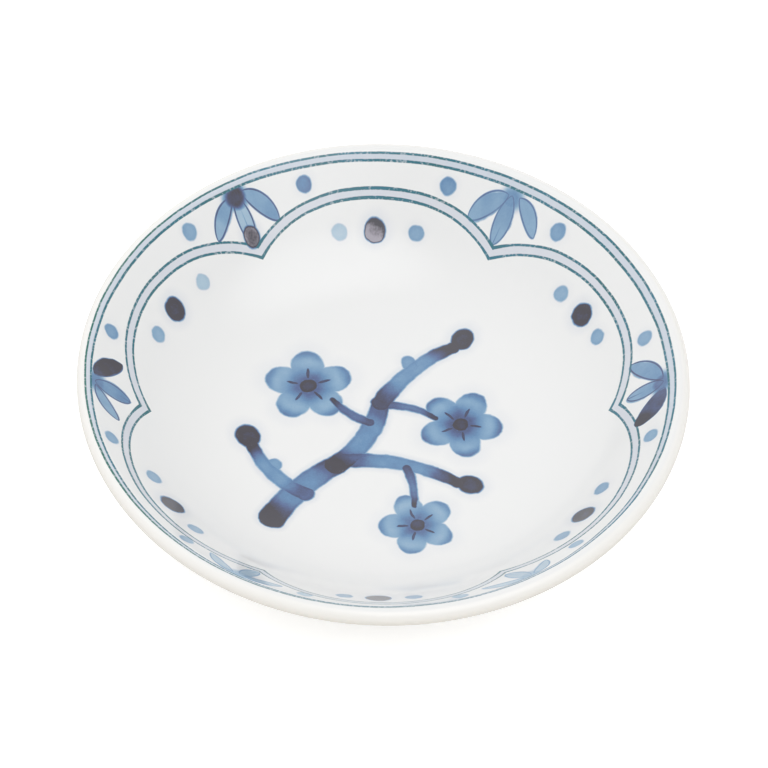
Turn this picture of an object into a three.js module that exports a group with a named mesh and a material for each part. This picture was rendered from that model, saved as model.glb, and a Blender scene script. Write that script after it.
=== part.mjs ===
// Small porcelain condiment dish: a thrown body with a flat well, a flared wall and a full round lip, a foot ring
// luted under its floor, and the fired glaze that covers everything except the edge the dish stands on.
// Millimetres, +Z up. The origin is the centre of the circle that the foot ring stands on.

import * as THREE from 'three';

// Dish

const rimDiameter = 100;
const wellDepth = 15.3;
const wallThickness = 2.5;
const floorThickness = 3.35;
const wellFillet = 25;
const heelFillet = 9.5;

// Foot ring

const footDiameter = 54;
const footHeight = 5;
const footWidth = 3.4;
const footTaper = 0.5;
const footEdgeRound = 0.7;
const heelStep = 5.2;

// Glaze

const glazeThickness = 0.35;
const glazePool = 0.8;
const bareFootHeight = 1.3;

// Facets

const turnFacets = 60;
const lipFacets = 8;
const filletFacets = 6;
const edgeFacets = 3;
const filletRoom = 0.95;

// Heights of the unglazed clay

const undersideHeight = footHeight;
const floorHeight = undersideHeight + floorThickness;
const lipRound = wallThickness / 2;
const lipCentre = new THREE.Vector2(
  rimDiameter / 2 - glazeThickness - lipRound,
  floorHeight + wellDepth - lipRound,
);

// The outer wall leaves the heel, where it would meet the underside in a sharp corner, and touches the lip's round.
// The inner wall runs parallel to it, one wall thickness away.

const heelCorner = new THREE.Vector2(footDiameter / 2 + heelStep, undersideHeight);
const heelToLip = lipCentre.clone().sub(heelCorner);
const wallAngle = heelToLip.angle() + Math.asin(-lipRound / heelToLip.length());
const wallNormal = new THREE.Vector2(-Math.sin(wallAngle), Math.cos(wallAngle));
const innerLipPoint = lipCentre.clone().addScaledVector(wallNormal, lipRound);
const outerLipPoint = lipCentre.clone().addScaledVector(wallNormal, -lipRound);
const wellCornerRadius = innerLipPoint.x - (innerLipPoint.y - floorHeight) / Math.tan(wallAngle);

// Each fillet is as large as asked, or as its own floor and wall have room for.

const filletTangent = Math.tan(wallAngle / 2);
const innerWallLength = (innerLipPoint.y - floorHeight) / Math.sin(wallAngle);
const wellTangent = Math.min(
  wellFillet * filletTangent,
  filletRoom * innerWallLength,
  filletRoom * wellCornerRadius,
);
const wellRadius = wellTangent / filletTangent;
const wellCentre = new THREE.Vector2(wellCornerRadius - wellTangent, floorHeight + wellRadius);
const outerWallLength = outerLipPoint.distanceTo(heelCorner);
const heelTangent = Math.min(
  heelFillet * filletTangent,
  filletRoom * outerWallLength,
  filletRoom * (heelStep - glazeThickness - glazePool),
);
const heelRadius = heelTangent / filletTangent;
const heelCentre = new THREE.Vector2(heelCorner.x - heelTangent, undersideHeight + heelRadius);

// Points on an arc, both ends included, with its angles counted from +X towards +Z.

function arc(centre, radiusX, radiusZ, from, to, facets) {
  const points = [];
  for (let step = 0; step <= facets; step += 1) {
    const angle = THREE.MathUtils.lerp(from, to, step / facets);
    const x = centre.x + radiusX * Math.cos(angle);
    const z = centre.y + radiusZ * Math.sin(angle);
    points.push(new THREE.Vector2(x, z));
  }
  return points;
}

function roundArc(centre, radius, from, to, facets) {
  return arc(centre, radius, radius, from, to, facets);
}

// The eating face, from the axis out over the lip to the outer wall, at a height above the clay.

function facePath(cover) {
  const wallStart = wallAngle - Math.PI / 2;
  const lipStart = wallAngle + Math.PI / 2;
  return [
    new THREE.Vector2(0, floorHeight + cover),
    ...roundArc(wellCentre, wellRadius - cover, -Math.PI / 2, wallStart, filletFacets),
    ...roundArc(lipCentre, lipRound + cover, lipStart, wallStart, lipFacets),
  ];
}

// The back, from the heel's fillet up the outer wall to the lip, at a height above the clay.

function backPath(cover) {
  const wallEnd = wallAngle - Math.PI / 2;
  const lipEnd = outerLipPoint.clone().addScaledVector(wallNormal, -cover);
  return [...roundArc(heelCentre, heelRadius + cover, -Math.PI / 2, wallEnd, filletFacets), lipEnd];
}

// The foot ring leans in towards the edge that it stands on.

function footLean(height) {
  return (footTaper * (footHeight - height)) / (footHeight - footEdgeRound);
}

function footOutside(height) {
  return footDiameter / 2 - footLean(height);
}

function footInside(height) {
  return footDiameter / 2 - footWidth + footLean(height);
}

// Turns a profile about the dish's axis into a closed solid.

function turned(name, profile, material) {
  const geometry = new THREE.LatheGeometry(profile, turnFacets);
  geometry.rotateX(Math.PI / 2);
  const mesh = new THREE.Mesh(geometry, material);
  mesh.name = name;
  return mesh;
}

// Materials

function porcelain() {
  return new THREE.MeshStandardMaterial({ color: 0xe9e5da, roughness: 0.55, metalness: 0 });
}

function glaze() {
  return new THREE.MeshStandardMaterial({ color: 0xeff0ee, roughness: 0.12, metalness: 0 });
}

// Thrown body: flat well, flared wall and full round lip.

function dishBody() {
  const profile = [
    new THREE.Vector2(0, undersideHeight),
    ...backPath(0),
    ...facePath(0).reverse().slice(1),
  ];
  return turned('dish_body', profile, porcelain());
}

// Foot ring, with the edge that it stands on flat and rounded off on both sides.

function footRing() {
  const outerEdge = new THREE.Vector2(footOutside(footEdgeRound) - footEdgeRound, footEdgeRound);
  const innerEdge = new THREE.Vector2(footInside(footEdgeRound) + footEdgeRound, footEdgeRound);
  const profile = [
    ...roundArc(outerEdge, footEdgeRound, -Math.PI / 2, 0, edgeFacets),
    new THREE.Vector2(footOutside(footHeight), footHeight),
    new THREE.Vector2(footInside(footHeight), footHeight),
    ...roundArc(innerEdge, footEdgeRound, -Math.PI, -Math.PI / 2, edgeFacets),
  ];
  return turned('foot_ring', [...profile, profile[0].clone()], porcelain());
}

// Glaze of the eating face and the lip.

function faceGlaze() {
  const profile = [...facePath(0), ...facePath(glazeThickness).reverse()];
  return turned('face_glaze', profile, glaze());
}

// Glaze of the back, down the outside of the foot ring to the bare band, pooled where the foot ring joins.

function backGlaze() {
  const poolHeight = undersideHeight - glazeThickness - glazePool;
  const poolStart = footOutside(poolHeight) + glazeThickness;
  const poolEnd = footOutside(footHeight) + glazeThickness + glazePool;
  const poolCentre = new THREE.Vector2(poolEnd, poolHeight);
  const profile = [
    new THREE.Vector2(footOutside(bareFootHeight), bareFootHeight),
    new THREE.Vector2(footOutside(bareFootHeight) + glazeThickness, bareFootHeight),
    ...arc(poolCentre, poolEnd - poolStart, glazePool, Math.PI, Math.PI / 2, edgeFacets),
    ...backPath(glazeThickness),
    ...backPath(0).reverse(),
    new THREE.Vector2(footOutside(footHeight), footHeight),
  ];
  return turned('back_glaze', [...profile, profile[0].clone()], glaze());
}

// Glaze of the hollow inside the foot ring, pooled in its corner.

function footWellGlaze() {
  const poolHeight = undersideHeight - glazeThickness - glazePool;
  const poolEnd = footInside(poolHeight) - glazeThickness;
  const poolStart = footInside(footHeight) - glazeThickness - glazePool;
  const poolCentre = new THREE.Vector2(poolStart, poolHeight);
  const profile = [
    new THREE.Vector2(0, undersideHeight - glazeThickness),
    ...arc(poolCentre, poolEnd - poolStart, glazePool, Math.PI / 2, 0, edgeFacets),
    new THREE.Vector2(footInside(bareFootHeight) - glazeThickness, bareFootHeight),
    new THREE.Vector2(footInside(bareFootHeight), bareFootHeight),
    new THREE.Vector2(footInside(footHeight), footHeight),
    new THREE.Vector2(0, undersideHeight),
  ];
  return turned('foot_well_glaze', profile, glaze());
}

const dish = new THREE.Group();
dish.add(dishBody(), footRing(), faceGlaze(), backGlaze(), footWellGlaze());

export default dish;
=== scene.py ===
# %% [markdown]
# # A small porcelain dish with blue painting
# The dish is thrown white clay with a foot ring, painted in cobalt blue and dipped in clear glaze, which
# fires to a skin of glass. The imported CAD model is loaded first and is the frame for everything: it says
# where each piece is and how large, in metres, with +Z up and the origin in the middle of the ring that the
# dish stands on.

# %% Load the frame
import math

import bpy
from mathutils import Matrix, Quaternion, Vector


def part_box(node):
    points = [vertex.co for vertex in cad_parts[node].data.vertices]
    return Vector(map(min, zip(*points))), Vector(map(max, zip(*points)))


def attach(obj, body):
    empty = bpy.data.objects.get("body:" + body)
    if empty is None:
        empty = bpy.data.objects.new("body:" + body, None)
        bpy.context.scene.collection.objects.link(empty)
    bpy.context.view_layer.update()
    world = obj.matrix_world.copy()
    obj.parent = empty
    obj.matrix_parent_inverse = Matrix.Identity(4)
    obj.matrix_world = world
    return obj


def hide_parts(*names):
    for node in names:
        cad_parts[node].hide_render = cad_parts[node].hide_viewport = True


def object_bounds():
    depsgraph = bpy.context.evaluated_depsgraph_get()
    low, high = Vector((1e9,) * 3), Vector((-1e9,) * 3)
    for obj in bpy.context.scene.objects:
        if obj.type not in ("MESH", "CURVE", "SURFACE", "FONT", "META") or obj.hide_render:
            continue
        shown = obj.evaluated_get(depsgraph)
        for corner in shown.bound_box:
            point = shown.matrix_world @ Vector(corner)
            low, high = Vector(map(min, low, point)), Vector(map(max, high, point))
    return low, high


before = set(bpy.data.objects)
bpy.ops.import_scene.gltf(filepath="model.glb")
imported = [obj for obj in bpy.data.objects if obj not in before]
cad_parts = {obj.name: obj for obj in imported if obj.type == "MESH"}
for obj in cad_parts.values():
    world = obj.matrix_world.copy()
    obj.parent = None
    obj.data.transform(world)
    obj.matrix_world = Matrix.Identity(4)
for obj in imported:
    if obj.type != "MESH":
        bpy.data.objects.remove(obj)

MM = 0.001
cad_low, cad_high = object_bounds()
print("CAD box in mm:", [round(size / MM, 2) for size in cad_high - cad_low])

# %% [markdown]
# ## Camera
# A small dish is photographed from more than a metre away with a long lens, so that the rim stays close to
# a true ellipse. The camera looks down at about half a right angle and is tipped a little, so the right
# side sits lower. It is aimed at a named point of the dish instead of being shifted, because other views
# reuse the same camera.

# %% Camera
VIEW_AIM = Vector((0.10, 8.21, 10.85)) * MM
VIEW_ELEVATION = math.radians(51.14)
VIEW_TIP = math.radians(1.74)
VIEW_DISTANCE = 1214 * MM
LENS_LENGTH = 344.9
SENSOR_WIDTH = 36.0

towards_camera = Vector((0, -math.cos(VIEW_ELEVATION), math.sin(VIEW_ELEVATION)))
camera_turn = towards_camera.to_track_quat("Z", "Y") @ Quaternion((0, 0, 1), VIEW_TIP)
bpy.ops.object.select_all(action="DESELECT")
bpy.ops.object.camera_add(location=VIEW_AIM + VIEW_DISTANCE * towards_camera)
camera = bpy.context.object
camera.name = "table_camera"
camera.rotation_euler = camera_turn.to_euler()
camera.data.sensor_width = SENSOR_WIDTH
camera.data.lens = LENS_LENGTH
bpy.context.scene.camera = camera
print("Camera stands", round(camera.location.z / MM), "mm above the table")

# %% [markdown]
# ## Sizes of the dish
# Everything on a thrown dish is turned about one axis, so its shape is a profile: a radius and a height at
# each point. The outside sizes are read from the frame's boxes. The fillets and wall, which a box can't
# show, are named here with the maker's own measures.

# %% Sizes from the frame
clay_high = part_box("dish_body")[1]
face_low, face_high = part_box("face_glaze")
foot_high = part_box("foot_ring")[1]

GLAZE = face_high.z - clay_high.z
FLOOR_HEIGHT = face_low.z
FOOT_HEIGHT = foot_high.z
FOOT_RADIUS = foot_high.x
BARE_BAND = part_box("back_glaze")[0].z
print("Glaze is", round(GLAZE / MM, 2), "mm thick and stops", round(BARE_BAND / MM, 2), "mm above the table")

# %% Sizes that a box can't show
WALL = 2.5 * MM
WELL_FILLET = 25 * MM
HEEL_FILLET = 9.5 * MM
HEEL_STEP = 5.2 * MM
FOOT_WIDTH = 3.4 * MM
FOOT_TAPER = 0.5 * MM
FOOT_EDGE = 0.7 * MM
GLAZE_POOL = 0.8 * MM

lip_round = WALL / 2
lip_centre = Vector((clay_high.x - lip_round, clay_high.z - lip_round))
heel_corner = Vector((FOOT_RADIUS + HEEL_STEP, FOOT_HEIGHT))
heel_to_lip = lip_centre - heel_corner
WALL_ANGLE = math.atan2(heel_to_lip.y, heel_to_lip.x) - math.asin(lip_round / heel_to_lip.length)
wall_normal = Vector((-math.sin(WALL_ANGLE), math.cos(WALL_ANGLE)))
fillet_tangent = math.tan(WALL_ANGLE / 2)
inner_lip = lip_centre + lip_round * wall_normal
outer_lip = lip_centre - lip_round * wall_normal
well_corner = inner_lip.x - (inner_lip.y - FLOOR_HEIGHT) / math.tan(WALL_ANGLE)
well_centre = Vector((well_corner - WELL_FILLET * fillet_tangent, FLOOR_HEIGHT + WELL_FILLET))
heel_centre = Vector((heel_corner.x - HEEL_FILLET * fillet_tangent, FOOT_HEIGHT + HEEL_FILLET))
print("Wall leans at", round(math.degrees(WALL_ANGLE), 1), "degrees")

# %% [markdown]
# ## A pen for profiles
# A turned piece could be built from a cylinder and pushed into shape, but a potter's template is nearer to
# how it is really made: draw the profile, then turn it. One vertex is the pen. Extruding it draws a
# straight stretch, spinning it about a point draws an arc, and spinning the whole profile about the dish's
# axis makes the piece.

# %% Pen
def start_profile(name, start):
    """A new piece that is one vertex, at a radius and height."""
    bpy.ops.object.select_all(action="DESELECT")
    bpy.ops.mesh.primitive_plane_add(size=MM)
    bpy.context.object.name = name
    bpy.ops.object.mode_set(mode="EDIT")
    bpy.ops.mesh.select_all(action="SELECT")
    bpy.ops.mesh.merge(type="CENTER")
    bpy.ops.transform.translate(value=(start.x, 0, start.y))
    return start


def line_to(here, there, steps=1):
    """Draws a straight stretch and returns the pen's new place."""
    step = (there - here) / steps
    for _ in range(steps):
        bpy.ops.mesh.extrude_vertices_move(TRANSFORM_OT_translate={"value": (step.x, 0, step.y)})
    return there


def arc_round(here, centre, turn, steps):
    """Draws an arc, anticlockwise for a positive turn, and returns the pen's new place."""
    bpy.ops.mesh.spin(steps=steps, angle=turn, center=(centre.x, 0, centre.y), axis=(0, 1, 0))
    return centre + Matrix.Rotation(turn, 2) @ (here - centre)


print("The pen draws lines and arcs")

# %% Turning
TURN_STEPS = 216
MERGE_DISTANCE = 0.002 * MM
SMOOTH_ANGLE = math.radians(50)


def turn_profile():
    """Turns the drawn profile about the dish's axis into a closed piece."""
    bpy.ops.mesh.select_all(action="SELECT")
    bpy.ops.mesh.spin(steps=TURN_STEPS, angle=math.tau, center=(0, 0, 0), axis=(0, 0, 1))
    bpy.ops.mesh.select_all(action="SELECT")
    bpy.ops.mesh.remove_doubles(threshold=MERGE_DISTANCE)
    bpy.ops.mesh.normals_make_consistent(inside=False)
    bpy.ops.object.mode_set(mode="OBJECT")
    bpy.ops.object.shade_smooth_by_angle(angle=SMOOTH_ANGLE)
    piece = bpy.context.object
    print(piece.name, "has", len(piece.data.polygons), "faces")
    return piece


print("A full turn has", TURN_STEPS, "steps")

# %% [markdown]
# ## Glazed eating face
# The glaze on the face is one even skin of glass from the middle of the well, up the wall and over the
# round lip. It is drawn once on top of the clay, and then back along the clay itself, so that it is a thin
# closed shell. Close steps in the well's sweep and round the lip keep every curve smooth where the light
# runs along it.

# %% Glazed face
FLOOR_STEPS = 8
SWEEP_STEPS = 22
WALL_STEPS = 8
LIP_STEPS = 28


def face_out(here, cover):
    """Draws the face at a height above the clay, from the axis out over the lip."""
    here = line_to(here, Vector((well_centre.x, FLOOR_HEIGHT + cover)), FLOOR_STEPS)
    here = arc_round(here, well_centre, WALL_ANGLE, SWEEP_STEPS)
    here = line_to(here, lip_centre + (lip_round + cover) * wall_normal, WALL_STEPS)
    return arc_round(here, lip_centre, -math.pi, LIP_STEPS)


def face_back(here):
    """Draws the face on the clay itself, from outside the lip back to the axis."""
    here = arc_round(here, lip_centre, math.pi, LIP_STEPS)
    here = line_to(here, well_centre - WELL_FILLET * wall_normal, WALL_STEPS)
    here = arc_round(here, well_centre, -WALL_ANGLE, SWEEP_STEPS)
    return line_to(here, Vector((0, FLOOR_HEIGHT)), FLOOR_STEPS)


pen = start_profile("painted_face", Vector((0, FLOOR_HEIGHT + GLAZE)))
pen = face_out(pen, GLAZE)
pen = line_to(pen, outer_lip)
pen = face_back(pen)
painted_face = turn_profile()

# %% [markdown]
# ## Clay body
# Under the glaze is the thrown clay itself. It is hidden on a finished dish, but a chip would show it, so
# it is a real closed piece with the same template as the glaze that covers it.

# %% Clay body
HEEL_STEPS = 14


def back_down(here, cover):
    """Draws the back at a height above the clay, from the lip down the wall and round the heel."""
    here = line_to(here, heel_centre - (HEEL_FILLET + cover) * wall_normal, WALL_STEPS)
    return arc_round(here, heel_centre, -WALL_ANGLE, HEEL_STEPS)


pen = start_profile("clay_body", Vector((0, FLOOR_HEIGHT)))
pen = face_out(pen, 0)
pen = back_down(pen, 0)
pen = line_to(pen, Vector((0, FOOT_HEIGHT)), FLOOR_STEPS)
clay_body = turn_profile()

# %% [markdown]
# ## Foot ring
# The foot ring is a band of clay under the floor. Both its sides lean in a little towards the edge that the
# dish stands on, and both corners of that edge are rubbed round before firing, so that the bare clay doesn't
# scratch a table. A torus could be pressed into such a ring, but the pen gives it straight sides and the
# right width at every height.

# %% Foot ring
EDGE_STEPS = 8
SEAT_STEPS = 2
JOINT_STEPS = 4


def foot_lean(height):
    """How far each side of the foot ring has leaned in at a height."""
    return FOOT_TAPER * (FOOT_HEIGHT - height) / (FOOT_HEIGHT - FOOT_EDGE)


def foot_outside(height):
    """The foot ring's outer side at a height."""
    return Vector((FOOT_RADIUS - foot_lean(height), height))


def foot_inside(height):
    """The foot ring's inner side at a height."""
    return Vector((FOOT_RADIUS - FOOT_WIDTH + foot_lean(height), height))


outer_edge = foot_outside(FOOT_EDGE) - Vector((FOOT_EDGE, 0))
inner_edge = foot_inside(FOOT_EDGE) + Vector((FOOT_EDGE, 0))
pen = start_profile("bare_foot", foot_inside(FOOT_HEIGHT))
pen = line_to(pen, foot_inside(FOOT_EDGE), WALL_STEPS)
pen = arc_round(pen, inner_edge, math.pi / 2, EDGE_STEPS)
pen = line_to(pen, Vector((outer_edge.x, 0)), SEAT_STEPS)
pen = arc_round(pen, outer_edge, math.pi / 2, EDGE_STEPS)
pen = line_to(pen, foot_outside(FOOT_HEIGHT), WALL_STEPS)
pen = line_to(pen, foot_inside(FOOT_HEIGHT), JOINT_STEPS)
bare_foot = turn_profile()

# %% [markdown]
# ## Glaze of the back
# The glaze of the back starts where the lip's glaze ends, runs down the wall and round the heel, and pools
# in the corner where the foot ring begins, because melted glass creeps into corners. It stops in a soft
# bead above the foot's edge: the potter wipes that band clean, or the dish would melt to the kiln shelf.

# %% Glazed back
POOL_STEPS = 8
BEAD_STEPS = 6
HEEL_FLAT_STEPS = 3
SIDE_STEPS = 4
foot_slope = math.atan2(FOOT_TAPER, FOOT_HEIGHT - FOOT_EDGE)
pool_turn = math.pi / 2 - foot_slope
pool_height = FOOT_HEIGHT - GLAZE - GLAZE_POOL
pool_step = Vector(((GLAZE + GLAZE_POOL) / math.cos(foot_slope), 0))
pool_centre = foot_outside(pool_height) + pool_step
bead_top = BARE_BAND + GLAZE
bead_centre = foot_outside(bead_top)

pen = start_profile("glazed_back", outer_lip)
pen = line_to(pen, outer_lip - GLAZE * wall_normal)
pen = back_down(pen, GLAZE)
pen = line_to(pen, Vector((pool_centre.x, FOOT_HEIGHT - GLAZE)), HEEL_FLAT_STEPS)
pen = arc_round(pen, pool_centre, pool_turn, POOL_STEPS)
pen = line_to(pen, bead_centre + Vector((GLAZE, 0)), SIDE_STEPS)
pen = arc_round(pen, bead_centre, -math.pi / 2, BEAD_STEPS)
pen = line_to(pen, foot_outside(FOOT_HEIGHT), WALL_STEPS)
pen = line_to(pen, Vector((heel_centre.x, FOOT_HEIGHT)), HEEL_FLAT_STEPS)
pen = arc_round(pen, heel_centre, WALL_ANGLE, HEEL_STEPS)
pen = line_to(pen, outer_lip, WALL_STEPS)
glazed_back = turn_profile()

# %% [markdown]
# ## Glaze of the hollow inside the foot
# The same glaze lies in the hollow under the floor. It pools in the corner of the foot ring and stops in a
# bead at the same height as outside. The foot's bare edge parts it from the glaze of the back, so it is a
# piece of its own, with a profile that starts and ends on the axis.

# %% Glazed hollow
hollow_centre = foot_inside(pool_height) - pool_step
hollow_bead = foot_inside(bead_top)
hollow_way = Vector((math.cos(foot_slope), math.sin(foot_slope)))

pen = start_profile("glazed_foot_well", Vector((0, FOOT_HEIGHT)))
pen = line_to(pen, foot_inside(FOOT_HEIGHT), FLOOR_STEPS)
pen = line_to(pen, hollow_bead - Vector((0, GLAZE)), WALL_STEPS)
pen = arc_round(pen, hollow_bead, -math.pi / 2, BEAD_STEPS)
pen = line_to(pen, hollow_centre + GLAZE_POOL * hollow_way, SIDE_STEPS)
pen = arc_round(pen, hollow_centre, pool_turn, POOL_STEPS)
pen = line_to(pen, Vector((0, FOOT_HEIGHT - GLAZE)), FLOOR_STEPS)
glazed_foot_well = turn_profile()

# %% [markdown]
# ## Places in the frame
# Each dressed piece takes the place of one solid of the CAD model, and all of them ride on its only body.
# The slot names the material that the model's record gives to that solid.

# %% Ride and replace
ROLES = {
    painted_face: ("face_glaze", "painted_glaze"),
    clay_body: ("dish_body", "porcelain"),
    bare_foot: ("foot_ring", "porcelain"),
    glazed_back: ("back_glaze", "clear_glaze"),
    glazed_foot_well: ("foot_well_glaze", "clear_glaze"),
}
for piece, (node, slot) in ROLES.items():
    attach(piece, "root")
    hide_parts(node)
    print(piece.name, "stands for", node)

# %% [markdown]
# ## Wires between nodes
# A painted surface needs many small sums, and linking each Math node by hand hides the idea behind the
# links. Here a node's output is held as a wire. Adding or multiplying wires adds Math nodes, or Vector Math
# nodes where a vector comes in, so a line of code reads like the sum that it stands for.

# %% Wires
VECTOR_KINDS = ("VECTOR", "RGBA")
MEASURES = ("LENGTH", "DISTANCE", "DOT_PRODUCT")


class Wire:
    """A node's output, which can be summed like a number."""

    def __init__(self, socket):
        self.socket = socket
        self.tree = socket.id_data

    def __add__(self, other):
        return compute("ADD", self, other)

    def __sub__(self, other):
        return compute("SUBTRACT", self, other)

    def __rsub__(self, other):
        return compute("SUBTRACT", other, self)

    def __mul__(self, other):
        return compute("MULTIPLY", self, other)

    def __truediv__(self, other):
        return compute("DIVIDE", self, other)

    def __neg__(self):
        return compute("MULTIPLY", self, -1.0)


class Outputs:
    """A node's outputs as wires, by name."""

    def __init__(self, node):
        self.node = node

    def __getitem__(self, name):
        return Wire(self.node.outputs[name])


print("Wires can be added, subtracted, multiplied and divided")

# %% Nodes
def fill(node, inputs):
    """Links wires to a node's inputs, by name or number, or sets them to plain values."""
    for name, value in inputs.items():
        if isinstance(value, Wire):
            value.tree.links.new(value.socket, node.inputs[name])
        else:
            node.inputs[name].default_value = value


def add_node(tree, kind, inputs, **settings):
    """Adds a node with its settings and inputs, and returns its outputs."""
    node = tree.nodes.new("ShaderNode" + kind)
    for name, value in settings.items():
        setattr(node, name, value)
    fill(node, inputs)
    return Outputs(node)


def compute(operation, *values):
    """A sum of wires and plain values, by the name of a Math or Vector Math operation."""
    wires = [value for value in values if isinstance(value, Wire)]
    has_vector = any(wire.socket.type in VECTOR_KINDS for wire in wires)
    kind = "VectorMath" if has_vector else "Math"
    outputs = add_node(wires[0].tree, kind, dict(enumerate(values)), operation=operation)
    return outputs["Vector" if has_vector and operation not in MEASURES else "Value"]


print("Every sum becomes a node")

# %% Longer sums
def times_plus(value, factor, more):
    """A value times a factor, plus something more."""
    return compute("MULTIPLY_ADD", value, factor, more)


def blend(share, low, high):
    """A number that is low where the share is 0 and high where it is 1."""
    return times_plus(share, high - low, low)


def largest(wires):
    """The largest of several wires."""
    top = wires[0]
    for wire in wires[1:]:
        top = compute("MAXIMUM", top, wire)
    return top


def soft_step(value, low, high):
    """0 below low, 1 above high and a soft change between them."""
    inputs = {"Value": value, "From Min": low, "From Max": high}
    return add_node(value.tree, "MapRange", inputs, interpolation_type="SMOOTHSTEP")["Result"]


def fading(value, low, high):
    """1 below low, 0 above high and a soft change between them."""
    return 1.0 - soft_step(value, low, high)


print("Sums can blend, compare and fade")

# %% Vectors and noise
FLAT = (1, 1, 0)
MIDDLE_GREY = (0.5, 0.5, 0.5)


def scaled(vector, factor):
    """A vector times a number."""
    return add_node(vector.tree, "VectorMath", {0: vector, "Scale": factor}, operation="SCALE")["Vector"]


def combine(x, y, z=0.0):
    """A vector from its three parts, of which the first is a wire."""
    return add_node(x.tree, "CombineXYZ", {"X": x, "Y": y, "Z": z})["Vector"]


def parts_of(vector):
    """A vector's parts, by the names X, Y and Z."""
    return add_node(vector.tree, "SeparateXYZ", {"Vector": vector})


def seen_from(place, middle, turn, size):
    """A place as seen from a turned oval: 0 in its middle, and 1 away on its edge."""
    inputs = {"Vector": place, "Location": middle, "Rotation": turn, "Scale": size}
    return add_node(place.tree, "Mapping", inputs, vector_type="TEXTURE")["Vector"]


def cloud(place, size, detail=2.0):
    """Soft noise whose patches are about as wide as size, with finer ones in them by the detail."""
    return add_node(place.tree, "TexNoise", {"Vector": place, "Scale": 1 / size, "Detail": detail})


def wobble(place, size, amount):
    """Moves a place about, as an unsteady hand does, by up to amount in patches of a size."""
    drift = cloud(place, size)["Color"] - MIDDLE_GREY
    return times_plus(drift, (2 * amount, 2 * amount, 0), place)


print("Places can be split, joined and moved about")

# %% Colours
def screen_colour(red, green, blue):
    """A colour as a screen shows it, from 0 to 255, as a linear colour by the usual sRGB curve."""
    levels = [part / 255 for part in (red, green, blue)]
    linear = [level / 12.92 if level < 0.04045 else ((level + 0.055) / 1.055) ** 2.4 for level in levels]
    return (*linear, 1.0)


def ramp(share, stops, interpolation="LINEAR"):
    """Turns a share from 0 to 1 into a colour, by stops of a position and a colour."""
    outputs = add_node(share.tree, "ValToRGB", {"Fac": share})
    scale = outputs.node.color_ramp
    scale.interpolation = interpolation
    while len(scale.elements) < len(stops):
        scale.elements.new(0.5)
    for element, (position, colour) in zip(scale.elements, stops):
        element.position = position
        element.color = colour
    return outputs["Color"]


def colour_ramp(amount, stops):
    """Turns an amount into a colour by stops of an amount and a screen colour, the most being last."""
    most = stops[-1][0]
    return ramp(amount / most, [(position / most, screen_colour(*colour)) for position, colour in stops])


def colour_parts(colour):
    """A colour's parts, by the names Red, Green and Blue."""
    return add_node(colour.tree, "SeparateColor", {"Color": colour})


def mix_colour(amount, under, over):
    """One colour over another."""
    inputs = {"Factor": amount, "A": under, "B": over}
    return add_node(amount.tree, "Mix", inputs, data_type="RGBA")["Result"]


print("Screen white is", screen_colour(255, 255, 255))

# %% Groups
def new_group(name, vectors, numbers, outputs):
    """An empty node group, the wires that come in, and the node that takes the numbers it puts out."""
    tree = bpy.data.node_groups.new(name, "ShaderNodeTree")
    sockets = [(label, "INPUT", "NodeSocketVector") for label in vectors]
    sockets += [(label, "INPUT", "NodeSocketFloat") for label in numbers]
    sockets += [(label, "OUTPUT", "NodeSocketFloat") for label in outputs]
    for label, way, kind in sockets:
        tree.interface.new_socket(label, in_out=way, socket_type=kind)
    given = Outputs(tree.nodes.new("NodeGroupInput"))
    return tree, given, tree.nodes.new("NodeGroupOutput")


def use_group(group, place, **values):
    """Puts a group to use at a place, with its inputs by name and spaces written as underscores."""
    inputs = {label.replace("_", " "): value for label, value in values.items()}
    return add_node(place.tree, "Group", {"Place": place, **inputs}, node_tree=group)


print("Effects that are used more than once become node groups")

# %% [markdown]
# ## Six-fold layout
# The painter divides the wall in six: a spray of leaves every 60 degrees and a lobe between each two
# sprays. Drawing six of everything would be slow to render, so this group folds the dish like a paper star.
# It tells each point how far out it is, how many degrees it is from the middle of its own wedge, and which
# wedge it is in.

# %% Six-fold group
WEDGES = 6
WEDGE_ANGLE = 360 / WEDGES

sixfold, given, made = new_group("Sixfold layout", ["Place"], ["Turn"], ["Radius", "Angle", "Wedge"])
parts = parts_of(given["Place"])
heading = compute("DEGREES", compute("ARCTAN2", parts["Y"], parts["X"])) - given["Turn"]
wedge = compute("ROUND", heading / WEDGE_ANGLE)
fill(made, {
    "Radius": compute("LENGTH", given["Place"]),
    "Angle": times_plus(wedge, -WEDGE_ANGLE, heading),
    "Wedge": (compute("FLOORED_MODULO", wedge, WEDGES) + 0.5) / WEDGES,
})
print(sixfold.name, "folds the dish into", WEDGES, "wedges")

# %% Tables and places in a wedge
def wedge_table(fold, rows):
    """Up to three numbers for each wedge of a fold, looked up from given rows."""
    rows = [(*row, 0, 0, 0)[:3] for row in rows]
    lowest = min(number for row in rows for number in row)
    colours = [(*(number - lowest for number in row), 1.0) for row in rows]
    stops = [(place / len(rows), colour) for place, colour in enumerate(colours)]
    found = colour_parts(ramp(fold["Wedge"], stops, "CONSTANT"))
    return [found[name] + lowest for name in ("Red", "Green", "Blue")]


def flat_place(radius, angle):
    """The place at a radius and at an angle in degrees."""
    turn = compute("RADIANS", angle)
    return combine(radius * compute("COSINE", turn), radius * compute("SINE", turn))


print("A table has one row for each of", WEDGES, "wedges, anticlockwise from the right")

# %% [markdown]
# ## Brush dot
# A dot is one press of a loaded brush: an oval with a soft edge, where the wet colour gathers a little. A
# Mapping node of the Texture kind moves, turns and stretches any oval into a plain circle, and then one
# length says what is inside. Round a dark dot the melted glaze carries a trace of colour outwards, which
# shows as a faint halo.

# %% Brush dot group
DOT_EDGE = 0.16
GATHER_REACH, GATHER_INKS = (0.3, 1.0), (0.95, 1.05)
HALO_REACH, HALO_SHARE = (0.8, 2.1), 0.07
OVAL = ("Place", "Centre", "Turn", "Half size")

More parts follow.
